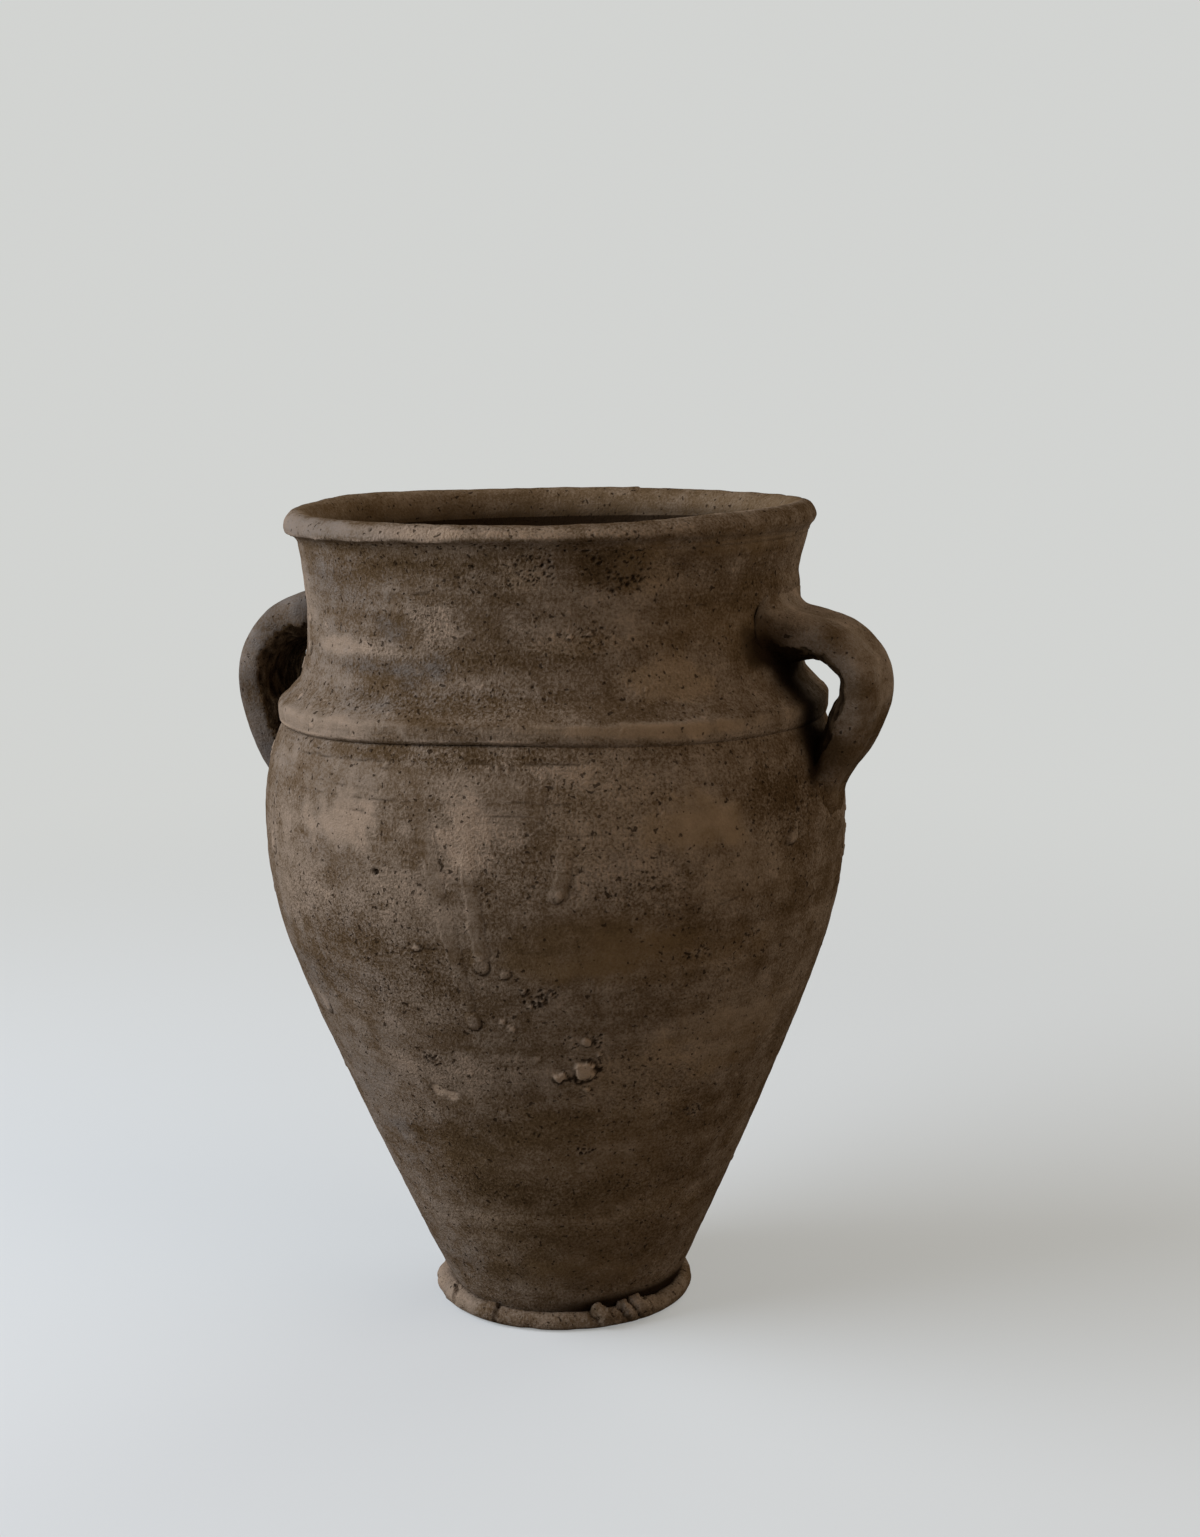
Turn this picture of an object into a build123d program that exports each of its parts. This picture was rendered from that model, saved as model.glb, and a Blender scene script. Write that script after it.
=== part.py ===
from build123d import *
import os

# A two-handled earthenware olive jar, put together from the clay pieces that the potter joined
# before firing: a floor, a foot ring, a body thrown in two halves, a neck whose flared foot
# stands proud of the shoulder, a rolled rim, and two strap handles with their pressed-on roots.
# Millimetres. +Z is up, the origin is under the middle of the foot, the handles lie along X.

# Body
body_height = 297.0
belly_radius = 143.0
base_radius = 57.5
shoulder_radius = 132.5
wall = 10.0
belly_seam_height = 190.0
body_height_shares = (0.2, 0.4, 0.6, 0.72, 0.84, 0.93)
body_radius_shares = (0.275, 0.575, 0.847, 0.966, 1.0, 0.965)
body_bore_shares = (0.15, 0.32, 0.5, 0.68, 0.84)

# V-shaped tongue that each thrown piece carries on its top edge
tongue_width = 5.0
tongue_height = 4.0

# Foot
base_recess = 3.0
floor_thickness = 11.0
floor_step_width = 2.5
floor_step_height = 4.0
foot_ring_width = 6.5
foot_ring_height = 8.0
foot_ring_round_share = 0.45
foot_ring_bite = 1.5
foot_ring_cover = 6.0

# Neck
neck_height = 88.5
ridge_reach = 2.5
ridge_height = 7.5
ridge_underside_share = 0.6
throat_radius = 119.2
neck_top_radius = 122.6
neck_height_shares = (0.19, 0.37, 0.66)
neck_radius_shares = (0.42, 0.085, 0.0)
neck_bore_height_shares = (0.13, 0.35, 0.66)
neck_bore_radius_shares = (0.62, 0.12, 0.0)

# Rim
rim_height = 14.5
rim_reach = 6.4
rim_inner_crown = 3.0

# Handles: each strap bows out from the line between its two ends
handle_below_rim = 44.5
handle_below_shoulder = 17.0
handle_bow = 31.5
handle_drop_shares = (0.0, 0.09, 0.262, 0.475, 0.672, 0.844, 1.0)
handle_bow_shares = (0.378, 0.765, 0.99, 0.915, 0.655, 0.4, 0.127)
strap_width = 46.0
strap_thickness = 18.0
strap_corner_share = 0.4
strap_groove_width_share = 0.5
strap_groove_depth = 1.8
strap_station_shares = (0.0, 0.16, 0.32, 0.48, 0.64, 0.8, 1.0)
strap_width_shares = (1.04, 1.0, 0.98, 0.95, 0.91, 0.86, 0.79)
strap_thickness_shares = (1.0, 1.03, 1.0, 1.04, 1.14, 1.1, 0.98)

# Upper root: the clay that flares from the strap onto the neck
root_depth = 7.0
root_flare = 8.0
root_thickening = 3.0
root_flare_shares = (0.2, 1.0)

# Lower root: the tail that is thumbed down onto the belly
tail_length = 42.0
tail_drop_shares = (0.25, 0.55, 1.0)
tail_width_shares = (0.72, 0.64, 0.5)
tail_thickness_shares = (0.86, 0.68, 0.5)
tail_proud_shares = (0.3, 0.1, -0.08)
tail_groove_shares = (0.6, 0.3, 0.05)

# Places that follow from the sizes
ring_seat_radius = base_radius - foot_ring_bite
ring_reach = base_radius + foot_ring_width
ring_bore_radius = ring_seat_radius - foot_ring_cover
floor_radius = base_radius - wall + floor_step_width / 2
floor_top = base_recess + floor_thickness
floor_step_top = base_recess + floor_step_height
neck_top = body_height + neck_height
jar_height = neck_top + rim_height
ridge_radius = shoulder_radius + ridge_reach
shoulder_bore_radius = shoulder_radius - wall
throat_bore_radius = throat_radius - wall
neck_top_bore_radius = neck_top_radius - wall
overrun = belly_radius + wall


def inside(outline, start, end, shares):
    """Points one wall inside an outline, between two fixed end points."""
    points = [start]
    for share in shares:
        tangent = outline % share
        points.append(outline @ share + Vector(-tangent.Y, tangent.X) * wall)
    return points + [end]


def share_of_the_way(outline, height):
    """How far along a rising or falling outline it reaches a height."""
    rising = (outline @ 1).Y > (outline @ 0).Y
    low, high = 0.0, 1.0
    for _ in range(40):
        middle = (low + high) / 2
        if ((outline @ middle).Y < height) == rising:
            low = middle
        else:
            high = middle
    return low


def radius_at(outline, height):
    """The outline's distance from the axis at a height."""
    return (outline @ share_of_the_way(outline, height)).X


def between(start, end, share):
    return start + share * (end - start)


# Outlines, as distance from the axis against height
with BuildLine() as body_outline:
    Spline(
        (base_radius, foot_ring_height),
        *[
            (between(base_radius, belly_radius, radius_share), body_height * height_share)
            for radius_share, height_share in zip(body_radius_shares, body_height_shares)
        ],
        (shoulder_radius, body_height),
    )
body_curve = body_outline.edge()

with BuildLine() as body_bore:
    Spline(
        *inside(
            body_curve,
            (floor_radius, floor_top),
            (shoulder_bore_radius, body_height),
            body_bore_shares,
        )
    )

with BuildLine() as neck_outline:
    Spline(
        (ridge_radius, body_height + ridge_height / 2),
        *[
            (between(throat_radius, ridge_radius, radius_share), body_height + neck_height * height_share)
            for radius_share, height_share in zip(neck_radius_shares, neck_height_shares)
        ],
        (neck_top_radius, neck_top),
    )
neck_curve = neck_outline.edge()

with BuildLine() as neck_bore:
    Spline(
        (shoulder_bore_radius, body_height),
        *[
            (
                between(throat_bore_radius, shoulder_bore_radius, radius_share),
                body_height + neck_height * height_share,
            )
            for radius_share, height_share in zip(neck_bore_radius_shares, neck_bore_height_shares)
        ],
        (neck_top_bore_radius, neck_top),
    )

belly_tongue_radius = radius_at(body_curve, belly_seam_height) - wall / 2
shoulder_tongue_radius = shoulder_radius - wall / 2
rim_tongue_radius = neck_top_radius - wall / 2


def tongue(radius, height, mode=Mode.ADD):
    """The V that keys one thrown piece into the next."""
    with BuildLine() as outline:
        Polyline(
            (radius - tongue_width / 2, height),
            (radius, height + tongue_height),
            (radius + tongue_width / 2, height),
            close=True,
        )
    make_face(outline.edges(), mode=mode)


def band(low, high):
    """Keeps what lies between two heights."""
    with Locations((0, low)):
        Rectangle(overrun, high - low, align=(Align.MIN, Align.MIN), mode=Mode.INTERSECT)


def body_wall():
    """The section of the whole body wall, from its seat in the foot ring to the shoulder."""
    with BuildLine() as outline:
        add(body_curve)
        add(body_bore.edge())
        Line((shoulder_radius, body_height), (shoulder_bore_radius, body_height))
        Polyline(
            (floor_radius, floor_top),
            (floor_radius, floor_step_top),
            (floor_radius - floor_step_width, floor_step_top),
            (floor_radius - floor_step_width, base_recess),
            (ring_seat_radius, base_recess),
            (ring_seat_radius, foot_ring_height),
            (base_radius, foot_ring_height),
        )
    make_face(outline.edges())


# Floor: a slab that drops onto the step in the body's base
with BuildPart() as floor:
    with BuildSketch(Plane.XY.offset(base_recess)):
        Circle(floor_radius - floor_step_width)
    extrude(amount=floor_step_height)
    with BuildSketch(Plane.XY.offset(floor_step_top)):
        Circle(floor_radius)
    extrude(amount=floor_thickness - floor_step_height)

# Foot ring: a coil pressed round and under the base
with BuildPart() as foot_ring:
    with BuildSketch(Plane.XZ):
        with BuildLine():
            Polyline(
                (ring_bore_radius, 0),
                (ring_reach, 0),
                (ring_reach, foot_ring_height),
                (ring_seat_radius, foot_ring_height),
                (ring_seat_radius, base_recess),
                (ring_bore_radius, base_recess),
                close=True,
            )
        make_face()
        fillet(vertices().group_by(Axis.X)[-1], radius=foot_ring_height * foot_ring_round_share)
    revolve(axis=Axis.Z)

# Lower body
with BuildPart() as lower_body:
    with BuildSketch(Plane.XZ):
        body_wall()
        band(0, belly_seam_height)
        tongue(belly_tongue_radius, belly_seam_height)
    revolve(axis=Axis.Z)

# Upper body
with BuildPart() as upper_body:
    with BuildSketch(Plane.XZ):
        body_wall()
        band(belly_seam_height, body_height)
        tongue(belly_tongue_radius, belly_seam_height, Mode.SUBTRACT)
        tongue(shoulder_tongue_radius, body_height)
    revolve(axis=Axis.Z)

# Neck: its flared foot overhangs the shoulder as a ridge
ridge_foot_radius = between(shoulder_radius, ridge_radius, ridge_underside_share)
with BuildPart() as neck:
    with BuildSketch(Plane.XZ):
        with BuildLine():
            add(neck_curve)
            add(neck_bore.edge())
            Line((neck_top_bore_radius, neck_top), (neck_top_radius, neck_top))
            Polyline(
                (shoulder_bore_radius, body_height),
                (ridge_foot_radius, body_height),
                (ridge_radius, body_height + ridge_height / 2),
            )
        make_face()
        tongue(shoulder_tongue_radius, body_height, Mode.SUBTRACT)
        tongue(rim_tongue_radius, neck_top)
    revolve(axis=Axis.Z)

# Rim: a roll of clay turned outwards
with BuildPart() as rim:
    with BuildSketch(Plane.XZ):
        with BuildLine():
            Line((neck_top_bore_radius, neck_top), (neck_top_radius, neck_top))
            ThreePointArc(
                (neck_top_radius, neck_top),
                (neck_top_radius + rim_reach, neck_top + rim_height / 2),
                (neck_top_radius, jar_height),
            )
            SagittaArc((neck_top_radius, jar_height), (neck_top_bore_radius, neck_top), -rim_inner_crown)
        make_face()
        tongue(rim_tongue_radius, neck_top, Mode.SUBTRACT)
    revolve(axis=Axis.Z)

# The jar's outside, solid, which the handles and their roots are cut to
with BuildPart() as envelope:
    with BuildSketch(Plane.XZ):
        with BuildLine():
            add(body_curve)
            add(neck_curve)
            Polyline(
                (shoulder_radius, body_height),
                (ridge_foot_radius, body_height),
                (ridge_radius, body_height + ridge_height / 2),
            )
            Polyline(
                (neck_top_radius, neck_top),
                (0, neck_top),
                (0, foot_ring_height),
                (base_radius, foot_ring_height),
            )
        make_face()
    revolve(axis=Axis.Z)

# Handle path, from the neck out and down to the belly
handle_top = neck_top - handle_below_rim
handle_foot = body_height - handle_below_shoulder
handle_top_radius = radius_at(neck_curve, handle_top)
handle_foot_radius = radius_at(body_curve, handle_foot)
with BuildLine(Plane.XZ) as handle_path:
    Spline(
        *[
            (
                between(handle_top_radius, handle_foot_radius, drop_share) + handle_bow * bow_share,
                between(handle_top, handle_foot, drop_share),
            )
            for drop_share, bow_share in zip(handle_drop_shares, handle_bow_shares)
        ]
    )
path = handle_path.edge()


def across(place, direction):
    """A plane square to the strap, with its own Y on the strap's outer side."""
    return Plane(origin=place, x_dir=(0, 1, 0), z_dir=direction)


def strap_section(width, thickness, groove=strap_groove_depth):
    """A rounded bar with the shallow groove that runs along its outer face."""
    RectangleRounded(width, thickness, thickness * strap_corner_share)
    with Locations((0, thickness / 2)):
        Ellipse(width * strap_groove_width_share / 2, groove, mode=Mode.SUBTRACT)


# Right handle
with BuildPart() as right_handle:
    for station, width_share, thickness_share in zip(
        strap_station_shares, strap_width_shares, strap_thickness_shares
    ):
        with BuildSketch(across(path @ station, path % station)):
            strap_section(strap_width * width_share, strap_thickness * thickness_share)
    loft()
    add(envelope.part, mode=Mode.SUBTRACT)

# Right upper root
root_width = strap_width * strap_width_shares[0]
root_thickness = strap_thickness * strap_thickness_shares[0]
root_length = handle_bow * handle_bow_shares[0] + root_depth
with BuildPart() as right_upper_root:
    with BuildSketch(across(path @ 0, path % 0)):
        strap_section(root_width, root_thickness)
    for step, flare_share in enumerate(root_flare_shares, start=1):
        inward = root_length * step / len(root_flare_shares)
        with BuildSketch(across(path @ 0 - path % 0 * inward, path % 0)):
            strap_section(
                root_width + root_flare * flare_share,
                root_thickness + root_thickening * flare_share,
            )
    loft()
    add(envelope.part, mode=Mode.SUBTRACT)

# Right lower root
with BuildPart() as right_lower_root:
    with BuildSketch(across(path @ 1, path % 1)):
        strap_section(strap_width * strap_width_shares[-1], strap_thickness * strap_thickness_shares[-1])
    for drop_share, width_share, thickness_share, proud_share, groove_share in zip(
        tail_drop_shares,
        tail_width_shares,
        tail_thickness_shares,
        tail_proud_shares,
        tail_groove_shares,
    ):
        share = share_of_the_way(body_curve, handle_foot - tail_length * drop_share)
        spot = body_curve @ share
        tangent = body_curve % share
        thickness = strap_thickness * thickness_share
        out = strap_thickness * proud_share - thickness / 2
        place = Vector(spot.X + tangent.Y * out, 0, spot.Y - tangent.X * out)
        with BuildSketch(across(place, (-tangent.X, 0, -tangent.Y))):
            strap_section(strap_width * width_share, thickness, strap_groove_depth * groove_share)
    loft()
    add(envelope.part, mode=Mode.SUBTRACT)

os.makedirs("parts", exist_ok=True)
for name, piece in (
    ("floor", floor),
    ("foot_ring", foot_ring),
    ("lower_body", lower_body),
    ("upper_body", upper_body),
    ("neck", neck),
    ("rim", rim),
    ("right_handle", right_handle),
    ("right_upper_root", right_upper_root),
    ("right_lower_root", right_lower_root),
):
    piece.part.label = name
    export_step(piece.part, f"parts/{name}.step")

# The left handle and its roots mirror the right ones
for name, piece in (
    ("left_handle", right_handle),
    ("left_upper_root", right_upper_root),
    ("left_lower_root", right_lower_root),
):
    with BuildPart() as left_piece:
        mirror(piece.part, about=Plane.YZ)
    left_piece.part.label = name
    export_step(left_piece.part, f"parts/{name}.step")
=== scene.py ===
import itertools
import math

import bpy
import numpy as np
from mathutils import Matrix, Vector
from mathutils.bvhtree import BVHTree
from mathutils.kdtree import KDTree


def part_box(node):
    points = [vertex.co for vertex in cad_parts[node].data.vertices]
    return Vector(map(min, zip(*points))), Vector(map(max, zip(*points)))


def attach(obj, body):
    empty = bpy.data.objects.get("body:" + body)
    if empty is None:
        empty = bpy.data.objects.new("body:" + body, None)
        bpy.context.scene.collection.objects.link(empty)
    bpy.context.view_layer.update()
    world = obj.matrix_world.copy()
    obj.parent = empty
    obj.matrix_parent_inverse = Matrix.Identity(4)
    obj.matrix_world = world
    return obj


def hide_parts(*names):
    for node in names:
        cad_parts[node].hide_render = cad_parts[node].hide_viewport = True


# A weathered, hand-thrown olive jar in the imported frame: +Z up, handles along X. Azimuths run from
# the front, -Y, towards the right handle, +X. Lengths are in millimetres up to the finished meshes,
# and in metres in the lamps and materials.

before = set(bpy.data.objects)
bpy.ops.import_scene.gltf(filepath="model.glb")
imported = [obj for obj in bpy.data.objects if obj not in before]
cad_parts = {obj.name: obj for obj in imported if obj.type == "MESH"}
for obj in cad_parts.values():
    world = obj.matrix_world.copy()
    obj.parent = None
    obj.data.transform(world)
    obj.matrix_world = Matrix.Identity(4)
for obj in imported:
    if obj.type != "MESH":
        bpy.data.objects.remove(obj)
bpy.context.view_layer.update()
scene = bpy.context.scene

MM = 0.001
DEGREE = math.pi / 180
TINY = 1e-12
TURN_SAMPLES = 4001
CURVE_SAMPLES = 24

# View
PHOTO_HEIGHT = 1537
FOCAL_PIXELS = 2400
SENSOR = 36.0
CAMERA_AZIMUTH = 22.5 * DEGREE
CAMERA_DISTANCE = 1171.0
CAMERA_HEIGHT = 473.9
CAMERA_YAW = 1.073 * DEGREE
CAMERA_PITCH = 9.962 * DEGREE
CAMERA_ROLL = -1.06 * DEGREE

# Mesh fineness: columns round the jar are closest on the side that the camera sees
FRONT_STEP = 0.85
BACK_SHARE = 0.6
WALL_STEP = 0.9
LIP_STEP = 0.7
BORE_STEP = 2.6
OUTLINE_STEP = 9.0
WALL_LINE_STEP = 0.5

# How the thrown pieces key into each other
TONGUE_HEIGHT = 4.0
TONGUE_SHARES = (0.25, 0.5, 0.75)

# Foot
FLOOR_STEP_WIDTH = 2.5
FLOOR_STEP_HEIGHT = 4.0
FLOOR_STEP = 1.6
FLOOR_CENTRE = 3.0
RING_BITE = 1.5
RING_STEP = 0.8

# Foot ring, as (out, up) from the bottom edge of the body's outside
RING_SHAPE = (
    (-1.5, 0.0), (-0.4, 0.2), (1.4, 0.7), (3.4, 0.5), (5.2, -0.7), (6.3, -2.8),
    (6.4, -4.8), (5.6, -6.6), (3.8, -7.7), (1.6, -8.0), (-5.6, -8.0), (-7.5, -8.0),
)

# Flaps torn up from the foot ring, as (degrees round, degrees wide each way, rise)
RING_FLAPS = (
    (37.5, 3.6, 4.2),
    (49.5, 2.4, 3.6),
    (56.0, 3.4, 4.6),
    (64.0, 4.0, 1.4),
    (-14.0, 3.0, 1.2),
    (-44.0, 5.0, 1.6),
    (150.0, 4.0, 1.6),
    (-120.0, 5.0, 1.5),
)

# Ridge where the neck stands on the shoulder, as (out, up) from the shoulder's edge
RIDGE_SHAPE = (
    (-1.7, 0.1), (0.2, 0.2), (1.2, 0.9), (1.8, 2.4), (2.1, 4.6),
    (2.2, 7.4), (2.1, 9.4), (1.2, 10.9), (-0.8, 12.5), (-3.8, 15.6),
)
RIDGE_JOIN = 21.0
RIDGE_RUN_ON = 8

# Lip, as (out, up) from the neck's top edge, down to the bore
LIP_SHAPE = (
    (0.0, 0.0), (0.7, 1.4), (1.9, 2.9), (3.8, 4.1), (5.5, 5.0), (6.3, 6.2), (6.4, 7.8), (5.9, 9.9),
    (4.5, 12.3), (2.4, 13.9), (0.0, 14.5), (-3.0, 14.1), (-6.0, 12.4), (-8.3, 8.8), (-9.6, 4.0),
    (-10.0, 0.0),
)
LIP_EDGE = 5.2

# Handles, as side, width, thickness, how far back, how far below the rim and below the shoulder the
# strap starts and ends, its bow and its tail
HANDLE_FORMS = {
    "right": (1, 50.5, 20.6, 0.0, 44.5, 17.0, 32.0, 42.0),
    "left": (-1, 53.0, 22.6, 1.8, 41.0, 29.0, 29.7, 36.0),
}
STRAP_GROOVE = 1.8
GROOVE_REACH = 0.42
OUTER_SQUARENESS = 2.9
INNER_SQUARENESS = 2.2
ROOT_DEPTH = 5.5
ROOT_FILL = 6.5
ROOT_CLEARANCE = (26, 6)
SIDE_FILLET = 3.4
NECK_FILLET = 6.0
HANDLE_STEP = 0.8
HANDLE_COLUMNS = 136
BAR_ASPECT = 2.5
SUNK = 6.0
FEET_HALF_WIDTH = 55
FEET_BELOW_SHOULDER = 70
FEET_BELOW_RIM = 15

# Along a strap, as shares of its drop, bow, width and thickness
STRAP_SHARES = (
    (0.0, 0.378, 1.04, 1.0),
    (0.09, 0.765, 1.0, 1.03),
    (0.262, 0.99, 0.98, 1.0),
    (0.475, 0.915, 0.95, 1.04),
    (0.672, 0.655, 0.91, 1.14),
    (0.844, 0.4, 0.86, 1.1),
    (1.0, 0.127, 0.79, 0.98),
)

# Along its tail, as shares of the tail's length, the width, the thickness and the groove, and how much
# of the thickness stands out of the wall
TAIL_SHARES = (
    (0.25, 0.72, 0.86, 0.6, 0.28),
    (0.55, 0.64, 0.68, 0.3, 0.1),
    (1.0, 0.5, 0.5, 0.05, -0.22),
)

# How much less gritty slip, chips and fresh clay are, and how high up small marks lie
LESS_GRIT = -0.6
MARKED = (12, 384)

# What each point of a mesh tells the clay's nodes
# The last tone darkens with dirt and with painted shade
TONES = ("tan", "warm", "grey", "grit", "grime")


def smoothstep(low, high, value):
    t = np.clip((value - low) / (high - low), 0, 1)
    return t * t * (3 - 2 * t)


def plateau(start, full, fading, end, value):
    """Rises from 0 to 1 over the first two values, and falls back to 0 over the last two."""
    return smoothstep(start, full, value) * smoothstep(end, fading, value)


def bell(value):
    return np.exp(-(value**2))


def unit(vectors):
    return vectors / np.maximum(np.linalg.norm(vectors, axis=-1, keepdims=True), TINY)


def distances(line):
    """How far along a line each of its points is."""
    return np.r_[0, np.cumsum(np.linalg.norm(np.diff(line, axis=0), axis=1))]


# Noise

LATTICE = 256
SHUFFLED = np.random.default_rng(1).permutation(LATTICE)
SLOPES = unit(np.random.default_rng(2).normal(size=(LATTICE, 3)))
NOISE_GAIN = 1.6
SEED_SHIFT = 11.7


def noise(points, size, seed):
    """Smooth noise from about -1 to 1, whose swells are about the given size across."""
    scaled = points / size + SEED_SHIFT * seed
    cell = np.floor(scaled).astype(np.int64)
    part = scaled - cell
    ease = part**3 * (part * (part * 6 - 15) + 10)
    total = np.zeros(points.shape[:-1])
    for corner in itertools.product((0, 1), repeat=3):
        at = cell + corner
        key = at[..., 2] + seed
        for axis in (1, 0):
            key = SHUFFLED[key % LATTICE] + at[..., axis]
        slope = SLOPES[SHUFFLED[key % LATTICE]]
        weight = np.prod(np.where(corner, ease, 1 - ease), axis=-1)
        total += weight * ((part - corner) * slope).sum(-1)
    return NOISE_GAIN * total


def fractal(points, size, octaves, seed):
    return sum(noise(points, size / 2**k, seed + k) / 2**k for k in range(octaves))


# Lines of (radius, height)


def resampled(line, step):
    """Points about one step apart along a line."""
    line = np.asarray(line, float)
    reach = distances(line)
    at = np.linspace(0, reach[-1], max(2, round(reach[-1] / step) + 1))
    return np.stack([np.interp(at, reach, values) for values in line.T], axis=-1)


def smooth_line(points, step):
    """A smooth line through a few points, with points one step apart."""
    points = np.asarray(points, float)
    run = np.vstack([2 * points[0] - points[1], points, 2 * points[-1] - points[-2]])
    t = np.linspace(0, 1, CURVE_SAMPLES, endpoint=False)[:, None]
    spans = [
        b + 0.5 * ((c - a) * t + (2 * a - 5 * b + 4 * c - d) * t**2 + (3 * b - a - 3 * c + d) * t**3)
        for a, b, c, d in zip(run, run[1:], run[2:], run[3:])
    ]
    return resampled(np.vstack([*spans, points[-1:]]), step)


def left_of(line):
    """Unit directions square to a line, towards its left."""
    way = unit(np.gradient(line, axis=0))
    return np.stack([-way[:, 1], way[:, 0]], -1)


def between(line, low, high):
    """The part of a rising line between two heights."""
    ends = [(np.interp(h, line[:, 1], line[:, 0]), h) for h in (low, high)]
    inner = line[(line[:, 1] > low) & (line[:, 1] < high)]
    return np.vstack([ends[:1], inner, ends[1:]])


def offsets_from(radius, height, shape):
    return [(radius + out, height + up) for out, up in shape]


def round_axis(radius, height, angle):
    """Points at a radius, height and azimuth."""
    return np.stack([radius * np.sin(angle), -radius * np.cos(angle), height + 0 * angle], axis=-1)


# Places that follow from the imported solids


def low(node):
    return np.array(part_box(node)[0]) / MM


def high(node):
    return np.array(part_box(node)[1]) / MM


BASE = high("foot_ring")[2]
FLOOR_BOTTOM = low("floor")[2]
FLOOR_TOP = high("floor")[2]
BELLY_SEAM = low("upper_body")[2]
SHOULDER = low("neck")[2]
NECK_TOP = low("rim")[2]
RING_REACH = high("foot_ring")[0]
FLOOR_RADIUS = high("floor")[0]
STEP_RADIUS = FLOOR_RADIUS - FLOOR_STEP_WIDTH
STEP_TOP = FLOOR_BOTTOM + FLOOR_STEP_HEIGHT
RAY_START = 1000.0
NUDGE = 0.05


def wall_line(nodes, bottom, top, outside):
    """The solids' outside or bore as a line, read along +X between two heights."""
    shells = []
    for name in nodes:
        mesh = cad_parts[name].data
        corners = [v.co / MM for v in mesh.vertices]
        shells.append(BVHTree.FromPolygons(corners, [p.vertices for p in mesh.polygons]))
    start, way = (RAY_START, -1) if outside else (0, 1)
    line = []
    for height in np.linspace(bottom, top, round((top - bottom) / OUTLINE_STEP) + 1):
        at = min(max(height, bottom + NUDGE), top - NUDGE)
        hits = [shell.ray_cast(Vector((start, 0, at)), Vector((way, 0, 0)))[0] for shell in shells]
        line.append((max((hit.x for hit in hits if hit), key=lambda x: -way * x), height))
    return smooth_line(line, WALL_LINE_STEP)


BODY = ("lower_body", "upper_body")
body_out = wall_line(BODY, BASE, SHOULDER, True)
neck_out = wall_line(("neck",), SHOULDER + RIDGE_JOIN / 2, NECK_TOP, True)
body_in = wall_line(BODY, FLOOR_TOP, SHOULDER, False)
neck_in = wall_line(("neck",), SHOULDER, NECK_TOP, False)
BASE_RADIUS = body_out[0, 0]
BELLY_RADIUS = body_out[:, 0].max()
SHOULDER_RADIUS = body_out[-1, 0]
NECK_TOP_RADIUS = neck_out[-1, 0]


def outside_radius(height):
    """The jar's outside radius at a height, up to the lip."""
    body = np.interp(height, body_out[:, 1], body_out[:, 0])
    neck = np.interp(height, neck_out[:, 1], neck_out[:, 0])
    return np.where(height < SHOULDER, body, neck)


# The skin: one line from the foot up the outside, over the lip and down the bore to the floor

ridge = offsets_from(SHOULDER_RADIUS, SHOULDER, RIDGE_SHAPE)
below_ridge = np.vstack([between(body_out, BELLY_SEAM, SHOULDER - 1), ridge[:1]])
above_ridge = between(neck_out, SHOULDER + RIDGE_JOIN, NECK_TOP)
ridge_line = smooth_line([*ridge, above_ridge[0], above_ridge[RIDGE_RUN_ON]], LIP_STEP)
ridge_line = ridge_line[ridge_line[:, 1] < SHOULDER + RIDGE_JOIN]
STRETCHES = {
    "lower_out": resampled(between(body_out, BASE, BELLY_SEAM), WALL_STEP),
    "upper_out": resampled(below_ridge, WALL_STEP),
    "neck_out": np.vstack([ridge_line, resampled(above_ridge, WALL_STEP)]),
    "lip": smooth_line(offsets_from(NECK_TOP_RADIUS, NECK_TOP, LIP_SHAPE), LIP_STEP),
    "neck_in": resampled(between(neck_in, SHOULDER, NECK_TOP)[::-1], BORE_STEP),
    "upper_in": resampled(between(body_in, BELLY_SEAM, SHOULDER)[::-1], BORE_STEP),
    "lower_in": resampled(between(body_in, FLOOR_TOP, BELLY_SEAM)[::-1], BORE_STEP),
}
rows = {}
skin = np.empty((0, 2))
for stretch, line in STRETCHES.items():
    first = max(len(skin) - 1, 0)
    skin = np.vstack([skin[:first], line])
    rows[stretch] = range(first, len(skin))

run = distances(skin)
skin_side = left_of(skin)
OUTSIDE = rows["neck_in"][0]
LIP_TOP = skin[:, 1].argmax()

turn = np.linspace(-math.pi, math.pi, TURN_SAMPLES)
crowd = BACK_SHARE + (1 - BACK_SHARE) * smoothstep(-0.1, 0.45, np.cos(turn - CAMERA_AZIMUTH))
crowd = np.r_[0, np.cumsum((crowd[1:] + crowd[:-1]) / 2)]
column_count = round(crowd[-1] * (turn[1] - turn[0]) * BELLY_RADIUS / FRONT_STEP)
azimuth = np.interp(np.linspace(0, crowd[-1], column_count, endpoint=False), crowd, turn)

radius = skin[:, 0, None]
height = skin[:, 1, None]
around = azimuth[None, :]
degrees = around / DEGREE
outer = (np.arange(len(skin)) < OUTSIDE)[:, None]
still = round_axis(radius, height, around)
relief = np.zeros(still.shape[:2])
tones = {name: np.zeros(still.shape[:2]) for name in TONES}
ragged = 0.45 * noise(still[:OUTSIDE], 26, 31) + 0.3 * fractal(still[:OUTSIDE], 10, 3, 32)


# Marks on the outside. A place is (degrees round, height).


def row_at(place):
    return np.abs(skin[:OUTSIDE, 1] - place[1]).argmin()


def turned_from(place):
    """How far each column is round from a place, as an angle."""
    return (azimuth - place[0] * DEGREE + math.pi) % (2 * math.pi) - math.pi


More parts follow.
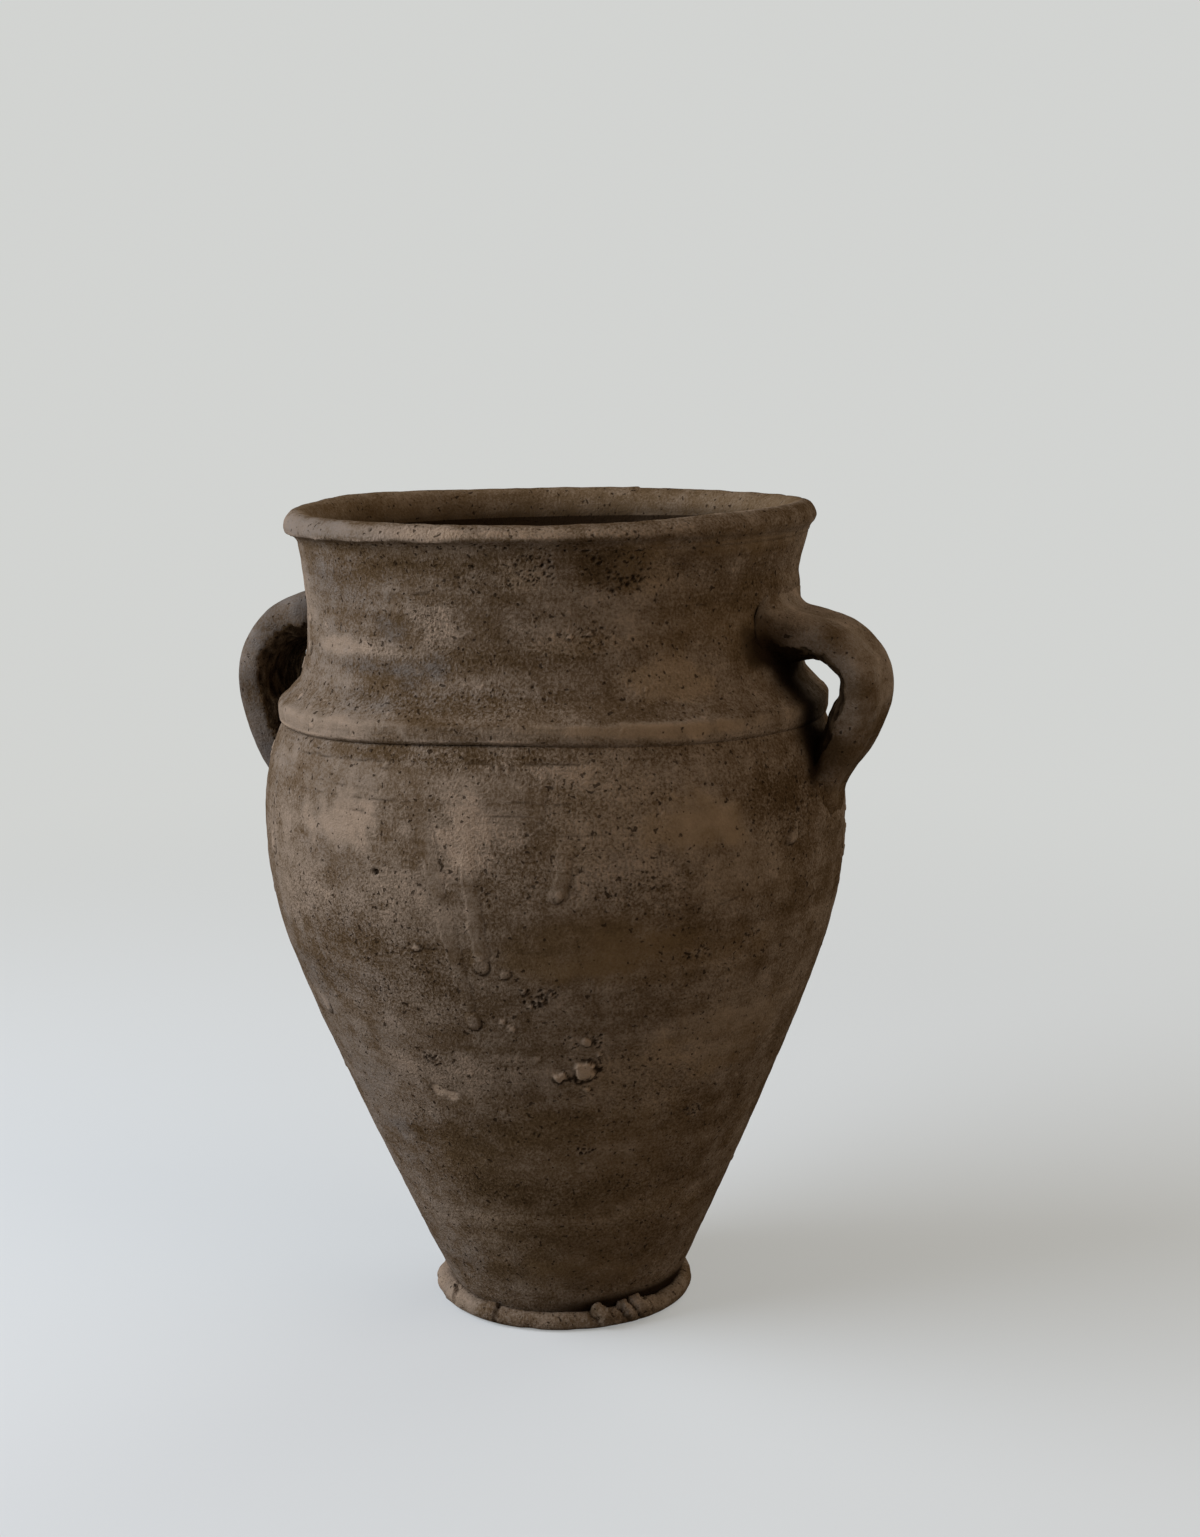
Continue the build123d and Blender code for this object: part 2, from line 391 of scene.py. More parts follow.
def near(place, reach):
    """The patch of skin within reach of a place, its points, and how far they are right of the place
    and above it."""
    row = row_at(place)
    up = run[:OUTSIDE] - run[row]
    across = turned_from(place) * skin[row, 0]
    near_rows = np.flatnonzero(np.abs(up) < reach)
    near_columns = np.flatnonzero(np.abs(across) < reach)
    patch = np.ix_(near_rows, near_columns)
    return patch, still[patch], across[None, near_columns], up[near_rows, None]


def tint(patch, **changes):
    """Adds to some tones of a patch of skin."""
    for name, amount in changes.items():
        tones[name][patch] += amount


def soil_and_shade(patch, amount):
    """Brings the dirt and painted shade on a patch up to an amount, so they don't add up where marks
    overlap.
    """
    tones["grime"][patch] = np.maximum(tones["grime"][patch], amount)


def stain(place, wide, tall, **changes):
    """A cloudy stain, wide in degrees and tall in millimetres each way, that changes some tones."""
    up = (run[:OUTSIDE] - run[row_at(place)])[:, None] / tall
    across = turned_from(place)[None, :] / (wide * DEGREE)
    strength = smoothstep(1.45, 0.45, np.hypot(across, up) + ragged)
    for name, amount in changes.items():
        tones[name][:OUTSIDE] += amount * strength


def pit(place, size, depth, rim=0.0, dark=0.9):
    """A hole, with a rim that stands up."""
    patch, spots, across, up = near(place, 2.2 * size)
    away = np.hypot(across, up) / (size / 2) * (1 + 0.5 * noise(spots, 0.8 * size, 41))
    hole = smoothstep(1.15, 0.4, away)
    lifted = rim * bell((away - 1.5) / 0.5)
    relief[patch] += lifted - depth * hole
    tint(patch, tan=0.3 * lifted)
    soil_and_shade(patch, dark * hole)


def chipped(right, top, seed):
    """How far out points are in an angular outline that is about 1 in radius."""
    draw = np.random.default_rng(seed)
    turns = 2 * math.pi * (np.arange(5) + draw.uniform(0, 0.8, 5)) / 5
    spans = draw.uniform(0.62, 1.0, 5)
    sides = [(right * math.cos(t) + top * math.sin(t)) / span for t, span in zip(turns, spans)]
    return np.max(sides, axis=0)


def lump(place, wide, tall, rise, light, dark):
    """A broken chip of clay stuck on the wall, with a groove and a painted shadow round its lower right
    side.
    """
    largest = max(wide, tall)
    patch, spots, across, up = near(place, 1.5 * largest)
    away = chipped(across / (wide / 2), up / (tall / 2), round(abs(place[0]) * 31 + place[1] * 17))
    away = away + 0.45 * noise(spots, 0.35 * largest, 43) + 0.14 * noise(spots, 1.6, 49)
    body = smoothstep(1.0, 0.74, away)
    shaded = (across - up) / largest + 0.8 * noise(spots, 3, 40)
    corner = bell((away - 1.14) / 0.22) * smoothstep(-1.0, 0.1, shaded)
    relief[patch] += rise * body * (1 + 0.3 * noise(spots, 0.6 * largest, 44))
    relief[patch] -= 0.25 * min(rise, 1) * corner
    tint(patch, tan=light * body, grit=LESS_GRIT * body)
    soil_and_shade(patch, dark * corner)


def bead(place, wide, tall, rise):
    """A drop of slip that dried on the wall, with a painted shadow along its lower right edge."""
    patch, spots, across, up = near(place, max(wide, tall))
    away = np.hypot(across / (wide / 2), up / (tall / 2))
    away = away * (1 + 0.16 * noise(spots, 4, 42))
    relief[patch] += rise * np.sqrt(np.clip(1 - away**2, 0, 1))
    below = smoothstep(-0.3, 0.6, (0.6 * across - up) / (tall / 2))
    tint(patch, tan=0.16 * smoothstep(1.0, 0.5, away))
    soil_and_shade(patch, 0.9 * below * bell((away - 1.1) / 0.15))


def along_line(start, end, reach):
    """The patch round a straight line on the wall and its points, with each one's share of the way along
    it and its distance from it, which is negative at the right of a line that runs down."""
    middle = [(a + b) / 2 for a, b in zip(start, end)]
    across_all = (end[0] - start[0]) * DEGREE * skin[row_at(middle), 0]
    way = np.array([across_all, end[1] - start[1]])
    length = np.linalg.norm(way)
    patch, spots, across, up = near(middle, length / 2 + reach)
    along = (across * way[0] + up * way[1]) / length
    beside = (across * way[1] - up * way[0]) / length
    beyond = np.maximum(np.abs(along) - length / 2, 0)
    away = np.hypot(beside, beyond) * np.where(beside < 0, -1, 1)
    return patch, spots, along / length + 0.5, away


def drip(start, end, wide, rise):
    """Slip that ran down the wall: a low track that gets fuller, with a broken edge."""
    patch, spots, share, away = along_line(start, end, 1.5 * wide)
    left = away >= 0
    away = np.abs(away) / (wide / 2) * (1 + 0.4 * noise(spots, 7, 45))
    fuller = 0.2 + 0.8 * smoothstep(0.0, 0.7, share)
    track = fuller * smoothstep(1.15, 0.3, away)
    # The raised edge at the left gets a painted highlight, and the track's right side a painted shadow
    edge = left * fuller * bell((away - 0.9) / 0.14) * smoothstep(-0.5, 0.2, noise(spots, 9, 50))
    relief[patch] += rise * (0.7 * track + 0.6 * edge)
    tint(patch, tan=0.16 * edge - 0.02 * track, grit=LESS_GRIT * track)
    soil_and_shade(patch, 0.5 * fuller * bell((away - 1.1) / 0.16) * ~left)


def scratch(start, end, wide, depth):
    """A scored line, broken here and there."""
    patch, spots, _, away = along_line(start, end, 3 * wide)
    score = bell(np.abs(away) / (wide / 2)) * smoothstep(-0.5, 0.1, noise(spots, 7, 46))
    relief[patch] -= depth * score
    soil_and_shade(patch, 0.55 * score)


def scar(place, wide, tall, depth, light):
    """A flake gone from the surface, which shows fresher clay."""
    patch, spots, across, up = near(place, 0.8 * max(wide, tall))
    away = np.hypot(across / (wide / 2), (up + 0.22 * across) / (tall / 2))
    away = away + 0.55 * noise(spots, 4, 47)
    bottom = smoothstep(1.0, 0.8, away)
    relief[patch] -= depth * bottom * (1 + 0.3 * noise(spots, 2, 48))
    tint(patch, tan=light * bottom, grit=LESS_GRIT * bottom)
    # The hollow's upper edge gets a painted shade
    soil_and_shade(patch, 0.5 * bell((away - 1.05) / 0.12) * (up > 0))


def scatter(seed, count, bottom, top, left=-180.0, right=180.0):
    """Random places between two heights, with a random share for each."""
    draw = np.random.default_rng(seed)
    places = zip(draw.uniform(left, right, count), draw.uniform(bottom, top, count))
    return zip(places, draw.random(count))


# The thrown form: not quite round, with swells, turning rings and a hand-smoothed surface

wheel = still * (0.1, 0.1, 1)
wheel[..., 2] += 1.5 * np.sin(2 * around)
relief += 0.5 * noise(still, 110, 3) + 0.3 * noise(still, 45, 4)
relief += 0.26 * noise(wheel, 15, 5) + 0.12 * noise(wheel, 5, 6)
relief += 0.15 * fractal(still, 12, 2, 8) + 0.07 * noise(still, 3.4, 14)

# Stains on the body: tan where the film has worn away, grey film, ochre, and dark bands
stain((-23, 262), 10, 11, tan=0.2, grit=-0.4)
stain((-12, 233), 11, 16, tan=0.14, grit=0.1)
stain((-8, 262), 9, 14, tan=0.1)
stain((-30, 286), 26, 12, tan=0.04, grit=-0.35)
stain((-38, 240), 12, 34, tan=0.1, grey=-0.1)
stain((-24, 216), 16, 20, tan=-0.02, grit=0.5)
stain((-30, 186), 22, 12, tan=-0.03, grey=0.06, grit=0.3)
stain((-4, 190), 12, 16, grit=0.5)
stain((27, 212), 18, 15, tan=-0.14, warm=0.3, grit=-0.2)
stain((8, 260), 9, 18, tan=0.3, grit=0.3)
stain((46, 205), 20, 14, tan=-0.06, warm=0.3)
stain((31, 270), 12, 20, tan=0.11, warm=0.3, grit=0.9)
stain((25, 279), 6, 9, tan=0.02, grit=0.4)
stain((36, 244), 10, 14, tan=0.1, grit=0.9)
stain((14, 246), 7, 22, tan=-0.04, grit=0.5)
stain((12, 272), 7, 10, tan=-0.03, grit=-0.3)
stain((50, 262), 9, 13, warm=0.7, tan=0.18, grit=-0.6)
stain((60, 240), 12, 16, warm=0.2, tan=0.1, grit=-0.2)
stain((72, 270), 12, 18, tan=-0.1, grit=0.5)
stain((8, 291), 24, 3, grey=0.15, tan=-0.06, grit=0.6)
stain((24, 286), 6, 6, grey=0.1, tan=0.16, grit=0.9)
stain((74, 214), 18, 30, tan=-0.05, grey=0.1)
stain((2, 146), 24, 10, tan=0.1, grit=0.2)
stain((40, 140), 16, 22, tan=0.12, warm=0.3, grit=0.7)
stain((62, 160), 16, 24, tan=0.06, warm=0.3, grit=-0.3)
stain((-24, 120), 16, 10, tan=0.06, grit=0.2)
stain((-14, 108), 18, 12, tan=-0.08, grey=0.1)
stain((24, 118), 22, 12, tan=-0.06, warm=0.1, grit=0.3)
stain((20, 82), 30, 8, tan=-0.07, grit=0.4)
stain((24, 80), 44, 60, tan=-0.09, warm=0.25)
stain((30, 62), 36, 8, tan=0.04, warm=0.1, grit=0.5)
stain((10, 30), 60, 10, tan=-0.06, warm=0.2, grit=-0.1)
stain((-26, 40), 20, 12, tan=0.1, grey=0.1)
stain((-32, 130), 18, 50, tan=0.1, grey=0.08, grit=-0.2)

# Stains on the ridge, neck and lip
stain((40, 304), 26, 4, tan=0.24, warm=0.5, grit=-0.6)
stain((-34, 304), 30, 6, tan=0.12, grit=-0.7)
stain((2, 318), 28, 9, grit=0.6, tan=-0.05, grey=0.2)
stain((48, 326), 10, 11, warm=0.8, tan=0.26, grit=1.2)
stain((-33, 341), 12, 4, tan=0.26, grit=-0.3)
stain((-18, 341), 8, 5, tan=0.16, grit=0.6)
stain((-4, 353), 6, 10, tan=0.2, grit=0.7)
stain((-12, 332), 14, 7, grey=0.32, tan=-0.06, grit=0.3)
stain((-14, 350), 5, 7, grey=0.2, tan=-0.1)
stain((14, 338), 18, 7, tan=-0.1, grey=0.15, grit=0.3)
stain((62, 352), 18, 18, tan=-0.12, warm=0.2)
# Painted shade beside the right handle's upper root
stain((76, 341), 7, 12, tan=-0.15, grime=0.5)
stain((-36, 368), 24, 12, grey=0.12, tan=0.03)
stain((-60, 366), 14, 22, tan=0.08, grit=-0.5)
stain((14, 326), 16, 6, tan=0.08, grey=0.1)
stain((4, 380), 20, 5, tan=-0.14, grit=0.2)
stain((35, 377), 9, 9, tan=-0.2, warm=0.2, grit=0.7, grime=0.3)
stain((44, 374), 6, 9, tan=0.14, warm=0.5, grit=1.0)
stain((64, 386), 20, 8, tan=-0.02, warm=0.4, grit=-0.3)
stain((17, 374), 6, 9, tan=0.16, warm=0.4, grit=1.0)
stain((30, 344), 14, 4, tan=0.1, warm=0.3, grit=0.8)
# Lighter lip at the left: a stain, and partly a painted highlight where the window light falls
stain((-34, 396), 42, 5, tan=0.22, grey=0.25)
stain((20, 396), 30, 4, tan=0.22, warm=0.3, grit=0.7)
# Lighter lip at the right: a stain, and partly a painted rim light
stain((74, 398), 26, 7, tan=0.42, warm=0.1, grit=-0.3)

# Slip that ran and dripped while the jar was wet
drip((5.4, 272), (8.0, 209), 7, 0.75)
drip((-3.6, 283), (0.5, 238), 8, 0.5)
drip((0.3, 246), (4.2, 182), 7, 0.5)
drip((24.6, 266), (22.6, 237), 7, 1.0)
drip((20.6, 287), (19.3, 270), 4, 0.5)
bead((7.6, 205), 8, 11, 0.8)
bead((4.6, 175.5), 7, 10, 1.0)
bead((22.4, 237), 5, 6, 0.5)
for turned in (10.9, 12.6, 14.5):
    pit((turned, 288.6), 3.0, 0.3, 0.25, 0.4)

# Chips of clay, as place, width, height, rise, lightness and painted shadow
LUMPS = (
    ((27.2, 148.5), 11, 12, 1.7, 0.3, 1.0),
    ((22.2, 147), 8, 7.5, 1.3, 0.2, 0.95),
    ((27.8, 164.6), 7, 5, 0.9, 0.15, 0.9),
    ((27.8, 139.5), 6, 4, 1.1, 0.2, 0.95),
    ((30.5, 158), 4, 3, 0.7, 0.1, 0.8),
    ((11.9, 199.5), 4.5, 6, 0.7, 0.15, 0.85),
    ((10.6, 175.8), 4, 3.5, 0.7, 0.25, 0.6),
    ((12.7, 172), 4, 3.5, 0.6, 0.25, 0.6),
    ((18.6, 186), 6, 5, 0.9, 0.1, 0.95),
    ((20.8, 190), 4.5, 3.5, 0.7, 0.1, 0.9),
    ((15.6, 191), 4, 4, 0.6, 0.1, 0.9),
    ((16.5, 183.5), 4, 3, 0.6, 0.1, 0.9),
    ((-4.9, 210), 4.5, 4, 0.7, 0.3, 0.95),
    ((72, 253), 6, 10, 1.3, 0.2, 0.9),
    ((26, 348.4), 5, 3, 0.6, 0.3, 0.7),
    ((30.4, 348.8), 5, 3, 0.6, 0.3, 0.7),
    ((42, 323), 3, 4, 0.5, 0.3, 0.5),
    ((-11, 289), 4, 4, 0.5, 0.1, 0.5),
    ((40, 290), 4, 3, 0.4, 0.1, 0.4),
    ((75, 341), 6, 5, 0.9, 0.25, 0.9),
)

# Pits, as place, size, depth and rim
PITS = (
    ((-12.3, 244.4), 3.3, 2.0),
    ((-10, 247.3), 1.3, 0.6),
    ((-30.4, 221), 2.0, 1.2),
    ((-7.6, 209.4), 2.0, 0.7),
    ((-25, 283), 1.8, 0.5),
    ((51, 281), 2.4, 0.6, 0.1),
    ((41, 254), 1.8, 0.9),
    ((57, 248), 2.2, 0.9),
    ((45, 222), 2.2, 0.6, 0.1),
    ((66, 238), 1.6, 0.5),
    ((5.9, 379.7), 2.2, 1.0, 0.1),
    ((-12.3, 379.8), 2.0, 0.8, 0.1),
    ((2.6, 374.7), 2.0, 0.6, 0.1),
    ((13.4, 373), 1.8, 0.7),
    ((-15.3, 357), 1.5, 0.7),
    ((-9.9, 342.2), 1.7, 0.8),
    ((5.5, 346.8), 1.6, 0.7),
    ((-30.5, 331.8), 1.3, 0.5),
    ((18, 326.1), 1.8, 0.7),
    ((45, 362), 1.8, 0.7),
    ((60, 374), 1.7, 0.7),
    ((66, 380), 1.8, 0.8),
    ((-16.5, 397), 1.9, 0.8),
    ((47, 396), 1.6, 0.6),
)

for chip in LUMPS:
    lump(*chip)
for hole in PITS:
    pit(*hole)
scar((-6.8, 134.3), 17, 6, 0.6, 0.35)
scar((-14, 362), 5, 7, 0.2, 0.0)
scratch((-9.8, 366.6), (-4.7, 367.6), 1.3, 0.55)
scratch((-35, 275.5), (-5, 275), 1.0, 0.3)
scratch((-24, 271), (-12, 269.6), 1.0, 0.35)
scratch((-28, 280), (-12, 278.6), 0.9, 0.15)
scratch((8, 271.2), (18.6, 270.6), 0.9, 0.25)
scratch((13, 276.6), (33, 274.1), 0.9, 0.2)
scratch((19, 263.6), (36, 262.4), 0.9, 0.25)
scratch((-4.5, 210.3), (0, 210.4), 1.6, 0.4)
scratch((46, 226), (53, 231), 1.2, 0.3)
scratch((49, 224), (58, 229), 1.2, 0.25)
scratch((40, 231), (44, 226), 1.4, 0.3)
scratch((55.5, 359.5), (58.5, 358.5), 1.3, 0.5)
scratch((-36, 190), (-16, 186), 1.0, 0.16)

# Clusters of pits, as left, right, bottom, top, count and largest size
CLUSTERS = (
    (-9, -4.5, 149, 155, 22, 2.2),
    (46, 52, 202, 208, 22, 2.2),
    (58, 64, 206, 212, 12, 2.0),
    (54, 60, 116, 123, 20, 2.0),
    (26, 30, 103, 108, 12, 1.8),
    (15, 23, 371, 384, 46, 2.0),
    (28, 43, 367, 386, 50, 2.6),
    (15, 22, 183, 192, 30, 2.2),
    (24, 31, 152, 168, 26, 2.0),
    (64, 78, 244, 266, 40, 2.2),
    (-30, 30, 386, 390, 60, 1.8),
    (27, 36, 343, 352, 20, 1.8),
)
for seed, (left, right, bottom, top, count, most) in enumerate(CLUSTERS, start=200):
    for place, share in scatter(seed, count, bottom, top, left, right):
        pit(place, 1.1 + (most - 1.1) * share**2, 0.25 + 0.6 * share, 0.12)

# Small pits, grains, blobs and drips all over, with flakes along the right side
for place, share in scatter(60, 240, *MARKED):
    pit(place, 0.9 + 1.0 * share**5, 0.2 + 0.3 * share, 0.0, 0.6)
for place, share in scatter(61, 420, *MARKED):
    lump(place, 1.6 + 3 * share**3, 1.5 + 2.0 * share**3, 0.1 + 0.2 * share, 0.16, 0.25)
for place, share in scatter(62, 60, 20, 380, 110, 330):
    lump(place, 3 + 4 * share, 3 + 4 * share, 0.3 + 0.7 * share, 0.2, 0.7)
for place, share in scatter(63, 13, 215, 264, 92, 120):
    lump(place, 3 + 5 * share, 3 + 5 * share, 0.25 + 0.4 * share, 0.1, 0.5)
for place, share in scatter(64, 14, 100, 290, 120, 320):
    end = (place[0] + 4 * share, place[1] - 16 - 26 * share)
    drip(place, end, 5 + 3 * share, 0.3)
    bead(end, 4 + 4 * share, 6 + 4 * share, 0.7)

# The lip's lower edge has a burr that comes and goes, with dirt and painted shade under it
burr = outer * bell((height - NECK_TOP - LIP_EDGE) / 0.7) * smoothstep(55, 30, np.abs(degrees + 35))
burr = burr * smoothstep(-0.35, 0.5, noise(still, 20, 51))
relief += 0.6 * burr * (1 + 0.9 * noise(still, 2.5, 52))
tint(..., tan=0.25 * burr)
under_lip = outer * bell((height - NECK_TOP - 1) / 4) * smoothstep(40, 0, degrees)
tint(..., warm=0.25 * under_lip, grime=0.12 * under_lip * (1 + 0.8 * noise(still, 9, 53)))
relief += 0.35 * smoothstep(NECK_TOP + 5, NECK_TOP + 12, height) * noise(still, 11, 60)

# Towards the right handle the lip has no edge, and the neck flares into it
flare = plateau(NECK_TOP - 20, NECK_TOP + 2, NECK_TOP + 2, NECK_TOP + 6, height)
relief += 2.6 * outer * plateau(-5, 42, 125, 165, degrees) * flare

# Dirt and painted shade in the crease under the ridge, which is softer at the right, and a worn edge above
# it
above_crease = (run - run[rows["neck_out"][0]])[:, None]
softer = plateau(8, 40, 125, 165, degrees)
crease_dirt_and_shade = (0.85 - 0.65 * softer) * bell(above_crease) * (0.6 + 0.9 * noise(still, 9, 54))
relief += 1.1 * softer * bell(above_crease / 2.4)
# The worn edge is also painted lighter as a highlight
ridge_edge = outer * bell((above_crease - 4.6) / 0.8) * (1 - 0.7 * softer)
ridge_edge = ridge_edge * smoothstep(-0.6, 0.4, noise(still, 30, 58))
relief += 0.55 * ridge_edge - 0.35 * (1 - softer) * bell((above_crease - 2.4) / 1.4)
scored = bell((above_crease - 7.4) / 0.6) * smoothstep(45, 25, np.abs(degrees + 12))
relief -= 0.3 * scored * smoothstep(-0.5, 0.2, noise(still, 18, 62))
tint(..., tan=0.34 * ridge_edge, grime=crease_dirt_and_shade)

# Under the ridge a rough band, ending in a broken line
band = plateau(-10, -6.5, -1.5, 0, above_crease) * smoothstep(70, 35, np.abs(degrees))
wavering = above_crease + 8.8 + 0.9 * noise(still, 10, 63)
broken_line = bell(wavering / 0.7) * smoothstep(-0.4, 0.3, noise(still, 14, 61))
broken_line = broken_line * smoothstep(50, 30, np.abs(degrees))
relief += 0.2 * band - 0.5 * broken_line
tint(..., tan=-0.03 * band, grit=0.4 * band, grime=0.6 * broken_line)

# A grey film at the left of the front, and warmer clay at the right; the shift from grey to warm also
# paints in the cool window light at the left and the warm lamp light at the right
grey_side = outer * (0.36 * bell((degrees + 40) / 36) - 0.16)
tint(..., grey=grey_side, warm=0.16 * outer * plateau(-20, 40, 120, 170, degrees))

# Dirt and painted shade above the foot ring, most at the right front
right_front = plateau(0, 50, 80, 130, degrees)
tint(..., grime=0.25 * outer * bell((height - BASE) / 4))
tint(..., grime=1.2 * outer * right_front * bell((height - BASE - 3) / 6))

# The bore: turned and never smoothed, with painted shade that is darker towards the bottom, at the back
# left and from just under the crown down, where it is also warmer
mouth_side = (np.arange(len(skin)) > LIP_TOP)[:, None]
relief += ~outer * (0.3 * noise(wheel, 9, 55) + 0.2 * noise(still, 14, 56))
bore_shade = 0.4 + 0.4 * smoothstep(NECK_TOP, BELLY_SEAM, height) + 0.35 * bell((degrees + 135) / 36)
mouth_shade = 0.55 * mouth_side * smoothstep(NECK_TOP + 13, NECK_TOP, height)
bore_tan = -0.08 + 0.3 * noise(wheel, 16, 57) + 0.15 * noise(still, 20, 59)
tint(..., tan=~outer * bore_tan, warm=0.5 * mouth_side, grime=~outer * bore_shade + mouth_shade)

# Nothing is off its place at the foot, where the seat and the floor are
relief *= plateau(0, 4, run[-1] - 4, run[-1], run)[:, None]

# The ridge rises at the front and the rim is a little tilted
ridge_rise = 4.2 * bell((degrees - 12) / 35) + 0.8
tilt = 0.9 * np.cos((degrees - 100) * DEGREE) + 0.4 * np.sin((3 * degrees + 40) * DEGREE)
lift = ridge_rise * bell((height - SHOULDER) / 22)
lift = lift + tilt * smoothstep(SHOULDER + 40, NECK_TOP, height)

# At the front the lip is thinner, with a lower crown and a higher edge
below_edge = smoothstep(NECK_TOP - 12, NECK_TOP + 3, height)
above_edge = smoothstep(NECK_TOP + 4, NECK_TOP + 10, height)
before_top = (np.arange(len(skin)) < LIP_TOP)[:, None]
crown = smoothstep(NECK_TOP + 2, NECK_TOP + 10, height)
lift = lift + 2.1 * crown * (bell((degrees + 112) / 36) - bell((degrees - 138) / 36))
lift = lift + 0.8 * before_top * bell((degrees + 5) / 45) * (below_edge - above_edge)
lift = lift - 2.8 * bell((degrees - 20) / 34) * smoothstep(NECK_TOP + 3, NECK_TOP + 13, height)


# Meshes made of closed rings of points: a row goes round the form, and the rows go along it


def ring_normals(grid):
    along = np.gradient(grid, axis=0)
    across = np.roll(grid, -1, axis=1) - np.roll(grid, 1, axis=1)
    return unit(np.cross(across, along))


def flat_normals(corners):
    normals = unit(np.cross(corners[:, 2] - corners[:, 0], corners[:, 3] - corners[:, 1]))
    return np.repeat(normals[:, None], 4, axis=1)


CAP_SHARE = 0.04
CORNERS = ((0, 0), (0, 1), (1, 1), (1, 0))


def ring_faces(grid, closed):
    """The quads between the rings, each one's row, and their corners' places on the bake map."""
    count, columns = grid.shape[:2]
    last = count if closed else count - 1
    row, column = np.meshgrid(np.arange(last), np.arange(columns), indexing="ij")
    quads = [((row + i) % count) * columns + (column + j) % columns for i, j in CORNERS]
    gaps = np.linalg.norm(np.roll(grid, -1, axis=0) - grid, axis=-1).mean(1)[:last]
    up = np.r_[0, np.cumsum(gaps)] / gaps.sum() * (1 if closed else 1 - 2 * CAP_SHARE)
    places = [np.stack([(column + j) / columns, up[row + i]], -1) for i, j in CORNERS]
    return np.stack(quads, -1).reshape(-1, 4), row.ravel(), np.stack(places, -2).reshape(-1, 4, 2)


def cap_faces(count, columns):
    """Strips of quads across the first ring and the last, and their places on the bake map."""
    k = np.arange(columns // 2 - 1)
    strip = np.stack([k, k + 1, columns - 2 - k, columns - 1 - k], -1)
    u = np.stack([k, k + 1, k + 1, k], -1) / (columns / 2)
    v = 1 + CAP_SHARE * (np.array([0.2, 0.2, 0.8, 0.8]) + 0 * u)
    first = np.stack([u, v - 2 * CAP_SHARE], -1)[:, ::-1]
    last = np.stack([u, v - CAP_SHARE], -1)
    return np.vstack([strip[:, ::-1], strip + (count - 1) * columns]), np.vstack([first, last])


def fill(items, name, values, kind=np.float32):
    """Sets one property of all the items of a kind in a mesh."""
    items.foreach_set(name, np.asarray(values, kind).ravel())


def placed(data):
    """A new object of some data, in the scene under the data's name."""
    made = bpy.data.objects.new(data.name, data)
    scene.collection.objects.link(made)
    return made


def make_piece(node, slot, grid, marks, normals, hard_rows=(), closed=True):
    """The clay in a solid's place, as a closed mesh. Between a hard row and the next the faces are flat.
    Unless the rows close on themselves, the first and last rings are capped."""
    corners = grid.reshape(-1, 3)
    quads, quad_rows, places = ring_faces(grid, closed)
    corner_normals = normals.reshape(-1, 3)[quads]
    hard = np.isin(quad_rows, list(hard_rows))
    corner_normals[hard] = flat_normals(corners[quads[hard]])
    if not closed:
        caps, cap_places = cap_faces(*grid.shape[:2])
        quads = np.vstack([quads, caps])
        places = np.vstack([places, cap_places])
        corner_normals = np.vstack([corner_normals, flat_normals(corners[caps])])
    mesh = bpy.data.meshes.new(f"{node}_clay")
    mesh.vertices.add(len(corners))
    fill(mesh.vertices, "co", corners * MM)
    mesh.loops.add(quads.size)
    fill(mesh.loops, "vertex_index", quads, np.int32)
    mesh.polygons.add(len(quads))
    fill(mesh.polygons, "loop_start", range(0, quads.size, 4), np.int32)
    mesh.update(calc_edges=True)
    fill(mesh.polygons, "use_smooth", np.ones(len(quads)), bool)
    for tone in TONES:
        layer = mesh.attributes.new(tone, "FLOAT", "POINT")
        fill(layer.data, "value", np.broadcast_to(marks.get(tone, 0.0), grid.shape[:2]))
    fill(mesh.uv_layers.new(name="OFBake").uv, "vector", places)
    mesh.normals_split_custom_set(corner_normals.reshape(-1, 3).tolist())
    mesh.materials.append(CLAYS[slot])
    piece = placed(mesh)
    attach(piece, "root")
    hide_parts(node)


# Materials


